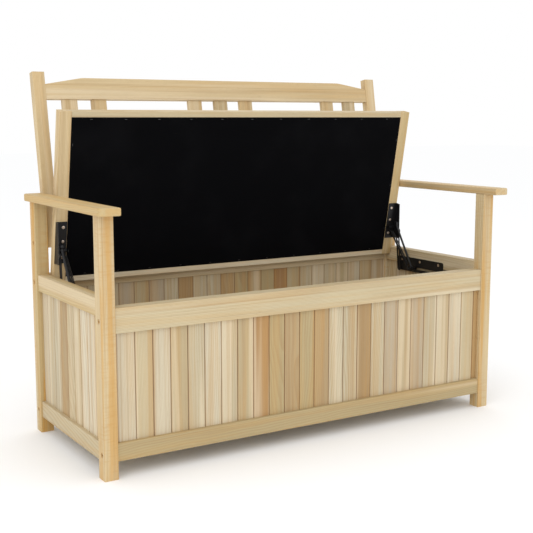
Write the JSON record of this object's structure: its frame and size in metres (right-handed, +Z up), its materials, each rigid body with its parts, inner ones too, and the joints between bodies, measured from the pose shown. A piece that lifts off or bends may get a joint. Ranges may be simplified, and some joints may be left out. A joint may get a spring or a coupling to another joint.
{
  "type": "patio storage bench",
  "caption": "Timber patio bench with slatted back, armrests and a boarded storage box under a hinged seat lid held open by spring stays.",
  "frame": {"origin": "on the floor, under the middle of the bench's overall box", "axes": "+X along the bench to its right end, -Y to the front, +Z up"},
  "size_m": [1.182, 0.566, 0.918],
  "materials": {
    "frame_timber": "clear oiled softwood",
    "boards": "clear oiled boards",
    "lid_timber": "clear oiled softwood",
    "bronzed_bolts": "bronzed steel",
    "bright_screws": "zinc",
    "black_steel": "black",
    "black_cloth": "thin black cloth",
    "staples": "bright wire"
  },
  "bodies": {
    "frame": {"front_leg_left": "frame_timber", "front_leg_right": "frame_timber", "rear_leg_left": "frame_timber", "rear_leg_right": "frame_timber", "armrest_left": "frame_timber", "armrest_right": "frame_timber", "side_top_rail_left": "frame_timber", "side_top_rail_right": "frame_timber", "side_bottom_rail_left": "frame_timber", "side_bottom_rail_right": "frame_timber", "front_top_rail": "frame_timber", "front_bottom_rail": "frame_timber", "rear_top_rail": "frame_timber", "rear_bottom_rail": "frame_timber", "back_post_left": "frame_timber", "back_post_right": "frame_timber", "back_top_rail": "frame_timber", "back_bottom_rail": "frame_timber", "back_slats": "frame_timber", "front_boards": "boards", "rear_boards": "boards", "side_boards_left": "boards", "side_boards_right": "boards", "floor_boards": "boards", "floor_cleats": "boards", "frame_bolts": "bronzed_bolts", "barrel_nuts": "bronzed_bolts", "post_bolts": "bronzed_bolts", "post_nuts": "bronzed_bolts", "post_screws": "bright_screws", "hinge_pins": "bright_screws", "guide_pins": "black_steel", "box_bracket_left": "black_steel", "box_bracket_right": "black_steel", "box_bracket_screws": "bright_screws"},
    "lid": {"lid_side_rail_left": "lid_timber", "lid_side_rail_right": "lid_timber", "seat_slats": "lid_timber", "lid_cloth": "black_cloth", "cloth_staples": "staples", "lid_bracket_left": "black_steel", "lid_bracket_right": "black_steel", "lid_bracket_screws": "bright_screws", "stay_pins_left": "black_steel", "stay_pins_right": "black_steel"},
    "check_link_left": {"check_link_left": "black_steel"},
    "stay_arm_left": {"stay_arm_left": "black_steel"},
    "stay_spring_left": {"stay_spring_left": "black_steel"},
    "check_link_right": {"check_link_right": "black_steel"},
    "stay_arm_right": {"stay_arm_right": "black_steel"},
    "stay_spring_right": {"stay_spring_right": "black_steel"}
  },
  "joints": [
    {"name": "lid_hinge", "type": "hinge", "parent": "frame", "child": "lid", "pos_m": [0, 0.16798, 0.4016], "axis": [1, 0, 0], "range_deg": [0, 79.3]},
    {"name": "link_pivot_left", "type": "hinge", "parent": "lid", "child": "check_link_left", "pos_m": [-0.534, 0.11819, 0.46262], "axis": [1, 0, 0], "range_deg": [-39.75, 0.1]},
    {"name": "arm_pivot_left", "type": "hinge", "parent": "lid", "child": "stay_arm_left", "pos_m": [-0.529, 0.12044, 0.4846], "axis": [1, 0, 0], "range_deg": [-132.51, 0.1]},
    {"name": "spring_swing_left", "type": "hinge", "parent": "stay_arm_left", "child": "stay_spring_left", "pos_m": [-0.518, 0.04118, 0.35725], "axis": [1, 0, 0], "range_deg": [-0.1, 10.82], "deforming": ["stay_spring_left"]},
    {"name": "link_pivot_right", "type": "hinge", "parent": "lid", "child": "check_link_right", "pos_m": [0.534, 0.11819, 0.46262], "axis": [1, 0, 0], "range_deg": [-39.75, 0.1]},
    {"name": "arm_pivot_right", "type": "hinge", "parent": "lid", "child": "stay_arm_right", "pos_m": [0.529, 0.12044, 0.4846], "axis": [1, 0, 0], "range_deg": [-132.51, 0.1]},
    {"name": "spring_swing_right", "type": "hinge", "parent": "stay_arm_right", "child": "stay_spring_right", "pos_m": [0.518, 0.04118, 0.35725], "axis": [1, 0, 0], "range_deg": [-0.1, 10.82], "deforming": ["stay_spring_right"]}
  ],
  "couplings": [
    {"joint": "link_pivot_left", "follows": "lid_hinge", "ratio": -0.5},
    {"joint": "arm_pivot_left", "follows": "lid_hinge", "ratio": -1.6697},
    {"joint": "spring_swing_left", "follows": "lid_hinge", "ratio": 0.13516},
    {"joint": "link_pivot_right", "follows": "lid_hinge", "ratio": -0.5},
    {"joint": "arm_pivot_right", "follows": "lid_hinge", "ratio": -1.6697},
    {"joint": "spring_swing_right", "follows": "lid_hinge", "ratio": 0.13516}
  ]
}
